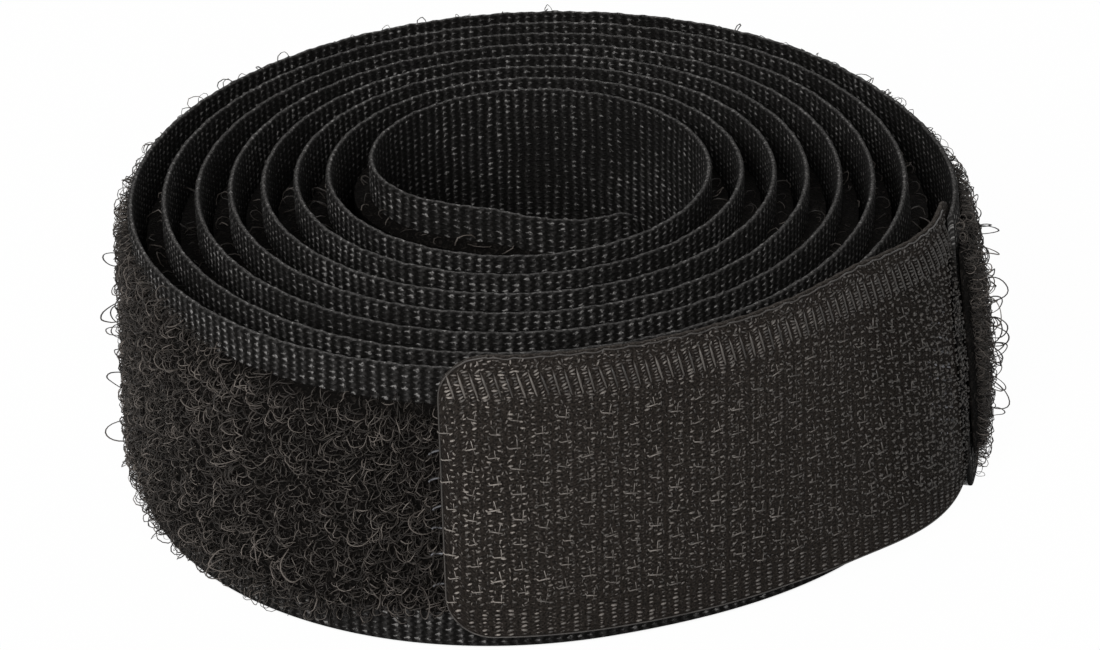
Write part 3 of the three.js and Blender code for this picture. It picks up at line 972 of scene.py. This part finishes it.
class TIEROLL_OT_loops(bpy.types.Operator):
    """Raises the loops of the pile, dense on the outer turn and few between the turns."""

    bl_idname = "tie_roll.loops"
    bl_label = "Raise the Loops"

    def execute(self, context):
        settings = context.scene.tie_roll
        tree = loop_tree()
        material = strand_material(
            "pile_filament", settings.pile_colour, roughness=0.45, dark_share=0.06, gloss=0.16, rarity=3.6)
        low = SELVEDGE + LOOP_MARGIN
        high = TAPE_WIDTH - SELVEDGE - LOOP_MARGIN
        last = LOOP_TAPE.length - LOOP_MARGIN
        base = {"material": material, "filament": settings.filament, "curl": settings.curl}

        def reach(length, height):
            """The loops' share of their size, less under the tab and at the tape's end."""
            beyond_tip = smoothstep(length, TAB_COVER[1] - 0.001, TAB_COVER[1] + 0.0005)
            at_end = smoothstep(length, LOOP_TAPE.length - 0.006, LOOP_TAPE.length - 0.001)
            return 0.4 + 0.6 * beyond_tip - 0.3 * at_end

        def fullness(length, height):
            """The loops' share of their density: few under the tab, and over the margins past its tip."""
            past_tip = smoothstep(length, TAB_COVER[1] - 0.0015, TAB_COVER[1] - 0.0005)
            from_tip = length - TAB_COVER[1]
            below = settings.overhang * smoothstep(from_tip, 0.002, 0.011)
            above = settings.overhang * smoothstep(from_tip, 0.01, 0.026)
            beyond = np.maximum((low - height) / (below + 0.00005), (height - high) / (above + 0.00005))
            in_band = 1 - np.clip(beyond, 0, 1) ** 2
            return (0.25 + 0.75 * past_tip) * in_band

        outer = flat_sheet(
            OUTER_TURN_AT, last, low - settings.overhang, high + settings.overhang, spacing=0.0005,
            fullness=fullness, reach=reach)
        dense = grown(
            tree, outer, density=settings.loop_density / MM**2, radius=settings.loop_radius,
            seed=settings.seed, **base)
        cuts = np.linspace(OUTER_TURN_AT - 0.001, LOOP_TAPE.length, OUTER_LOOP_PIECES + 1)
        for number, (start, end) in enumerate(zip(cuts[:-1], cuts[1:]), 1):
            self.keep(wrapped(f"outer_loops_{number}", LOOP_TAPE, dense, material, start, end))

        def more_at_end(length, height):
            return 0.6 + 2.5 * np.exp(-(((length - LOOP_TAPE.length) / 0.004) ** 2))

        def one(length, height):
            return 0 * length + 1

        free = flat_sheet(
            TAB_COVER[1], last, low, high, spacing=0.001, fullness=more_at_end, reach=one)
        strays = grown(
            tree, free, density=0.3 / MM**2, radius=settings.stray_radius, seed=settings.seed + 3,
            size_from=0.5, size_to=1.6, stretch=1.5, tilt=0.9, curl_scale=500.0, bends=20, **base)
        self.keep(wrapped("stray_loops", LOOP_TAPE, strays, material, 0, LOOP_TAPE.length))

        # Between the turns only the pile's upper border can be seen
        inner = flat_sheet(
            BARE_INNER_END, OUTER_TURN_AT, high - 0.0009, high + 0.0001, spacing=0.002, fullness=one,
            reach=one)
        between = grown(
            tree, inner, density=2.2 / MM**2, radius=settings.loop_radius, seed=settings.seed + 5,
            size_from=0.5, size_to=1.6, stretch=1.2, tilt=0.9, **base)
        self.keep(wrapped("loops_between_turns", LOOP_TAPE, between, material, 0, LOOP_TAPE.length))
        return {"FINISHED"}

    def keep(self, piece):
        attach(piece, "roll")


class TIEROLL_OT_hook_tape(bpy.types.Operator):
    """Lays the woven hook tape of the closing tab, in three stretches."""

    bl_idname = "tie_roll.hook_tape"
    bl_label = "Lay the Hook Tape"

    def execute(self, context):
        settings = context.scene.tie_roll
        material = weave_material(
            "hook_tape_weave", settings, settings.tab_colour, settings.thread_colour, columns=0.6,
            stagger=0.5, relief=0.6, threads=0.35, edge=0.25)
        replaced = {
            "root": ("hook_tape_root",), "middle": ("hook_tape_near", "hook_tape_middle"),
            "tip": ("hook_tape_tip",)}
        for stretch in tab_stretches():
            name, start, end = stretch[:3]
            lengths = stations_between(start, end, WEAVE_STATION)
            if name == "tip":
                corner = TAB_TIP_AT - end_stations(TAB_CORNER)[::-1]
                lengths = np.concatenate([stations_between(start, corner[0], WEAVE_STATION)[:-1], corner])
            cuts = corner_cut(np.maximum(TAB_TIP_AT - lengths, 0), TAB_CORNER)
            cuts = cuts + corner_cut(lengths, INNER_CORNER)
            piece = band(f"hook_tape_woven_{name}", HOOK_TAPE, lengths, cuts, material)
            bend_with_tab(piece, stretch)
            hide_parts(*replaced[name])
        return {"FINISHED"}


# How light the tab's threads are painted at a length and height: painted light towards the tip, painted
# shade towards the root
def painted_light_to_tip(length, height):
    """Painted light and shade along the tab: dim at the root, lighter half way and lightest at the tip."""
    middle = 0.42 * smoothstep(length, 0.007, 0.033)
    return 0.2 + middle + 0.62 * smoothstep(length, TAB_TIP_AT - 0.008, TAB_TIP_AT - 0.001)


# Painted shade that darkens the stitches most near the root, on top of the painted light along the tab
def painted_shade_near_root(length, height):
    return smoothstep(length, 0.004, 0.014) * (0.15 + painted_light_to_tip(length, height))


# A share of the painted light and shade along the tab
def painted_light_share(share):
    return lambda length, height: share * painted_light_to_tip(length, height)


# A share of the painted light along the tab, with more painted shade near the root
def painted_shade_at_root(share):
    return lambda length, height: (
        share * painted_light_to_tip(length, height) * (0.25 + 0.75 * smoothstep(length, 0.004, 0.018)))


class TIEROLL_OT_stitches(bpy.types.Operator):
    """Works the tab's outer face: ribbed selvedges, flecks of the weave and the feet of the hooks."""

    bl_idname = "tie_roll.stitches"
    bl_label = "Work the Tab's Threads"

    def execute(self, context):
        settings = context.scene.tie_roll
        material = strand_material(
            "hook_tape_thread", settings.thread_colour, roughness=0.4, dark_share=0.05, gloss=0.35,
            rarity=1.5)
        flecks = fleck_tree()
        seed = settings.seed
        ribs_low = TAPE_WIDTH - SELVEDGE - RIB_OVERLAP
        ribs_high = TAPE_WIDTH - RIB_TOP_MARGIN
        margin_high = SELVEDGE - 0.0001
        field_low = margin_high + 0.0002

        def rows(tree, shade, least=0.0, **inputs):
            growth = grown(
                tree, start=THREADS_START, length=TAB_TIP_AT - THREADS_START, material=material, **inputs)
            return toned(growth, shade, least)

        ribs = {"column": settings.rib_pitch, "slant": RIB_LEAN, "stagger": 0.0, "stray": 0.00001}
        field = {"foot": field_low, "height": ribs_low - margin_high - 0.0002, "stagger": 0.5}
        growths = [
            # The ribs of the upper selvedge, and the short threads across them
            rows(
                flecks, painted_shade_at_root(0.75), foot=(ribs_low + ribs_high) / 2, height=0.0001, row=0.005,
                long=0.0023, wide=0.00017, proud=0.0001, turn=math.atan2(1, RIB_LEAN), turn_spread=0.05,
                size_from=0.9, size_to=1.05, seed=seed, **ribs),
            rows(
                flecks, painted_shade_at_root(1.1), foot=ribs_low, height=ribs_high - ribs_low, row=0.00022,
                long=0.00042, wide=0.00013, proud=0.00012, turn=-0.3, turn_spread=0.5, seed=seed, **ribs),
            # The lower selvedge
            rows(
                flecks, painted_light_share(1.0), foot=0.0003, height=margin_high - 0.0003, column=0.0008, row=0.00029,
                stagger=0.0, stray=0.00003, long=0.0004, wide=0.00016, proud=0.00011, turn=-0.1,
                turn_spread=0.25, seed=seed + 9),
            # The loose threads along the upper edge
            rows(
                flecks, painted_light_share(0.9), foot=ribs_high, height=0.0008, column=0.0004, row=0.0003, long=0.00035,
                wide=0.00012, proud=0.0001, turn=-0.4, turn_spread=1.4, stray=0.00014, seed=seed + 7),
            # The weave between the selvedges: threads along the tape, and finer ones across
            rows(
                flecks, painted_light_share(1.0), column=settings.rib_pitch, row=settings.weave_row, long=0.00034,
                wide=0.00013, proud=0.00011, turn=-0.15, turn_spread=0.45, stray=0.00009, seed=seed + 1,
                **field),
            rows(
                flecks, painted_light_share(0.7), column=0.00052, row=0.00058, long=0.00032, wide=0.0001, proud=0.00009,
                turn=1.5, turn_spread=0.6, stray=0.00018, seed=seed + 2, **field),
            rows(
                stitch_tree(), painted_shade_near_root, 0.4, foot=SELVEDGE + 0.0002,
                height=ribs_low - SELVEDGE - 0.0008, column=settings.stitch_column,
                row=settings.stitch_row, stagger=0.5, stray=0.00014, turn_spread=0.25, seed=seed + 3)]
        threads = kept(joined(growths), in_tab_outline(THREAD_MARGIN))
        rim = toned(grown(rim_tree(), self.rim_path(), thread=0.0001, material=material), painted_light_share(0.28))
        threads = joined([threads, rim])
        for stretch in tab_stretches():
            name, start, end = stretch[:3]
            piece = wrapped(f"tab_threads_{name}", HOOK_TAPE, threads, material, start, end)
            bend_with_tab(piece, stretch)
        return {"FINISHED"}

    def rim_path(self):
        """Along the tab's upper edge in small scallops, round its tip and back along its lower edge."""
        edge = THICKNESS / 5
        scallop = 0.00135
        straight = np.arange(THREADS_START, TAB_TIP_AT - TAB_CORNER, 0.0003)
        waves = 0.0001 * np.abs(np.sin(np.pi * straight / scallop))
        turn = np.linspace(0, math.pi / 2, RIM_CORNER_STEPS)
        radius = TAB_CORNER - edge
        round_tip = TAB_TIP_AT - TAB_CORNER + radius * np.sin(turn)
        upper_round = TAPE_WIDTH - TAB_CORNER + radius * np.cos(turn)
        lengths = [straight, round_tip, round_tip[::-1], straight[::-1]]
        upper = TAPE_WIDTH - edge - waves
        lower = edge + 0 * straight
        heights = [upper, upper_round, TAPE_WIDTH - upper_round[::-1], lower]
        return path_mesh(np.concatenate(lengths), np.concatenate(heights))


class TIEROLL_OT_hooks(bpy.types.Operator):
    """Sets the rows of nylon hooks on the tab's inner side."""

    bl_idname = "tie_roll.hooks"
    bl_label = "Set the Hooks"

    def execute(self, context):
        settings = context.scene.tie_roll
        material = strand_material(
            "hook_filament", settings.hook_colour, roughness=0.35, dark_share=0.3)
        backing = weave_material(
            "hook_backing_weave", settings, settings.cloth_colour, settings.thread_and_edge_highlight_colour, threads=0.8)
        hooks = grown(
            hook_tree(), start=HOOKS_START, length=TAB_TIP_AT - HOOKS_START, foot=SELVEDGE + HOOK_MARGIN,
            height=TAPE_WIDTH - 2 * (SELVEDGE + HOOK_MARGIN), column=settings.hook_pitch, row=0.001,
            stagger=0.5, stray=0.00006, tall=HOOK_HEIGHT, thread=settings.hook_filament,
            seed=settings.seed + 4, material=material)
        hooks = kept(hooks, in_tab_outline(SELVEDGE / 2))
        # A last row reaches past the tab's tip, where its ends peep out
        peeping = grown(
            hook_tree(), start=TAB_TIP_AT - 0.0003, length=0.0001, foot=0.0035, height=0.011, column=0.001,
            row=settings.stitch_row * 1.1, stray=0.0001, tall=HOOK_HEIGHT, reach=0.0011, turned=0.0,
            thread=settings.hook_filament, turn_spread=0.4, seed=settings.seed + 6, material=material)
        hooks = joined([hooks, peeping])
        replaced = {
            "root": ("hooks_root",), "middle": ("hooks_near", "hooks_middle"),
            "tip": ("hooks_tip",)}
        # The hooks are rooted a little way into their backing
        base = -THICKNESS - HOOK_BACKING * 0.8
        for stretch in tab_stretches():
            name, start, end = stretch[:3]
            piece = wrapped(f"tab_hooks_{name}", HOOK_TAPE, hooks, material, start, end, base, inwards=True)
            bend_with_tab(piece, stretch)
            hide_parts(*replaced[name])
            stop = min(end, TAB_TIP_AT - SELVEDGE / 2)
            lengths = stations_between(max(start, BACKING_START), stop, BACKING_STATION)
            cuts = corner_cut(np.maximum(TAB_TIP_AT - lengths, 0), TAB_CORNER)
            ground = band(
                f"hook_backing_{name}", HOOK_TAPE, lengths, cuts, backing, low=SELVEDGE,
                high=TAPE_WIDTH - SELVEDGE, outer=-THICKNESS * 0.9, inner=-THICKNESS - HOOK_BACKING)
            bend_with_tab(ground, stretch)
        return {"FINISHED"}


class TIEROLL_OT_weld(bpy.types.Operator):
    """Finishes the weld between the two tapes."""

    bl_idname = "tie_roll.weld"
    bl_label = "Finish the Weld"

    def execute(self, context):
        settings = context.scene.tie_roll
        material = strand_material("weld_nylon", settings.thread_colour, roughness=0.45, dark_share=0.3)
        lengths = stations_between(LOOP_TAPE.length_at(LAP_START), LOOP_TAPE.length, WELD_STATION)
        piece = band(
            "weld_seam", LOOP_TAPE, lengths, 0 * lengths, material, low=WELD_INSET,
            high=TAPE_WIDTH - WELD_INSET, outer=-THICKNESS, inner=-THICKNESS - WELD_THICKNESS)
        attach(piece, "roll")
        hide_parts("lap_weld")
        return {"FINISHED"}


class TIEROLL_OT_stage(bpy.types.Operator):
    """Sets the floor, the soft studio light and the camera."""

    bl_idname = "tie_roll.stage"
    bl_label = "Set the Stage"

    def execute(self, context):
        self.set_floor()
        self.set_world(context.scene)
        for lamp in LAMPS:
            self.set_lamp(*lamp)
        self.set_camera(context.scene)
        context.scene.view_settings.view_transform = "Standard"
        return {"FINISHED"}

    def set_floor(self):
        material, tree, shader = new_material("floor")
        connect(tree, shader, {
            "Base Color": (0.95, 0.95, 0.95, 1), "Roughness": 0.9, "Specular IOR Level": 0.0})
        white = result(tree, "ShaderNodeEmission", {"Color": (1, 1, 1, 1), "Strength": 1.0})
        clear = result(tree, "ShaderNodeAttribute", output="Fac", attribute_name="clear")
        shown = result(tree, "ShaderNodeLightPath", output="Is Camera Ray") * (clear * FLOOR_WHITE)
        inputs = {0: shown, 1: Value(tree, shader.outputs[0]), 2: white}
        surface = result(tree, "ShaderNodeMixShader", inputs)
        connect(tree, tree.nodes["Material Output"], {"Surface": surface})
        floor = show("floor", self.floor_mesh(material))

    def set_world(self, scene):
        """A soft white world, which looks fully white in the camera, in mirrors and through glass."""
        world = bpy.data.worlds.new("studio")
        world.use_nodes = True
        scene.world = world
        tree = world.node_tree
        path = tree.nodes.new("ShaderNodeLightPath").outputs
        kinds = ("Is Camera Ray", "Is Glossy Ray", "Is Transmission Ray")
        camera_ray, glossy_ray, transmission_ray = (Value(tree, path[kind]) for kind in kinds)
        seen = camera_ray.math("MAXIMUM", glossy_ray).math("MAXIMUM", transmission_ray)
        level = mapped(tree, seen, 0.0, 1.0, WORLD_LEVEL, 1.0)
        connect(tree, tree.nodes["Background"], {"Color": (1, 1, 1, 1), "Strength": level})

    def set_camera(self, scene):
        along = Vector((0, math.cos(CAMERA_ELEVATION), -math.sin(CAMERA_ELEVATION)))
        right = Vector((1, 0, 0))
        up = right.cross(along)
        turned = math.cos(CAMERA_ROLL) * right + math.sin(CAMERA_ROLL) * up
        upright = -math.sin(CAMERA_ROLL) * right + math.cos(CAMERA_ROLL) * up
        target = Vector(CAMERA_TARGET) - Vector((*FOOTPRINT_CENTRE, 0))
        camera = bpy.data.cameras.new("photo_camera")
        camera.sensor_width = SENSOR
        camera.sensor_fit = "HORIZONTAL"
        camera.lens = FOCAL_PIXELS / IMAGE_WIDTH * SENSOR
        camera.clip_start = 0.01
        camera.clip_end = 10
        holder = bpy.data.objects.new("photo_camera", camera)
        scene.collection.objects.link(holder)
        axes = Matrix((turned, upright, -along)).transposed()
        holder.matrix_world = Matrix.Translation(target - CAMERA_DISTANCE * along) @ axes.to_4x4()
        scene.camera = holder

    def floor_mesh(self, material):
        """A round floor, clear outside the outer turn, that keeps its own shade in the gaps inside it."""
        lengths = np.linspace(OUTER_TURN_AT, LOOP_TAPE.length, FLOOR_STATIONS)
        inner = LOOP_TAPE.place(lengths, 0 * lengths, 0 * lengths - THICKNESS)
        outer = LOOP_TAPE.place(lengths, 0 * lengths, 0 * lengths)
        far = outer * (FLOOR_RADIUS / np.linalg.norm(outer, axis=1))[:, None]
        points = np.concatenate([np.zeros((1, 3)), inner, outer, far])
        count = len(lengths)
        this = 1 + np.arange(count)
        after = 1 + (np.arange(count) + 1) % count
        faces = [np.stack([0 * this, after, this], axis=-1)]
        for ring in (0, count):
            faces.append(np.stack([this + ring, after + ring, after + ring + count], axis=-1))
            faces.append(np.stack([this + ring, after + ring + count, this + ring + count], axis=-1))
        clear = np.repeat([0, 0, 1, 1], [1, count, count, count])
        return mesh_from("floor", points, np.concatenate(faces), material, attributes={"clear": clear})

    def set_lamp(self, name, place, size, energy):
        light = bpy.data.lights.new(name, "AREA")
        light.shape = "DISK"
        light.size = size
        light.energy = energy
        holder = bpy.data.objects.new(name, light)
        bpy.context.scene.collection.objects.link(holder)
        holder.location = place
        towards = Vector((0, 0, TAPE_WIDTH / 2)) - Vector(place)
        holder.rotation_euler = towards.to_track_quat("-Z", "Y").to_euler()


OPERATORS = (
    TIEROLL_OT_loop_tape,
    TIEROLL_OT_pile_felt,
    TIEROLL_OT_loops,
    TIEROLL_OT_hook_tape,
    TIEROLL_OT_stitches,
    TIEROLL_OT_hooks,
    TIEROLL_OT_weld,
    TIEROLL_OT_stage,
)


class TIEROLL_PT_panel(bpy.types.Panel):
    """Lists the roll's settings and the steps that dress it."""

    bl_idname = "TIEROLL_PT_panel"
    bl_label = "Tie Roll"
    bl_space_type = "VIEW_3D"
    bl_region_type = "UI"
    bl_category = "Tie Roll"

    def draw(self, context):
        settings = context.scene.tie_roll
        for name in TieRollSettings.__annotations__:
            self.layout.prop(settings, name)
        for operator in OPERATORS:
            self.layout.operator(operator.bl_idname)


def register():
    for kind in (TieRollSettings, *OPERATORS, TIEROLL_PT_panel):
        bpy.utils.register_class(kind)
    bpy.types.Scene.tie_roll = PointerProperty(type=TieRollSettings)


def unregister():
    del bpy.types.Scene.tie_roll
    for kind in (TIEROLL_PT_panel, *reversed(OPERATORS), TieRollSettings):
        bpy.utils.unregister_class(kind)


def main():
    register()
    bpy.ops.tie_roll.loop_tape()
    bpy.ops.tie_roll.pile_felt()
    bpy.ops.tie_roll.loops()
    bpy.ops.tie_roll.hook_tape()
    bpy.ops.tie_roll.stitches()
    bpy.ops.tie_roll.hooks()
    bpy.ops.tie_roll.weld()
    bpy.ops.tie_roll.stage()


if __name__ == "__main__":
    main()
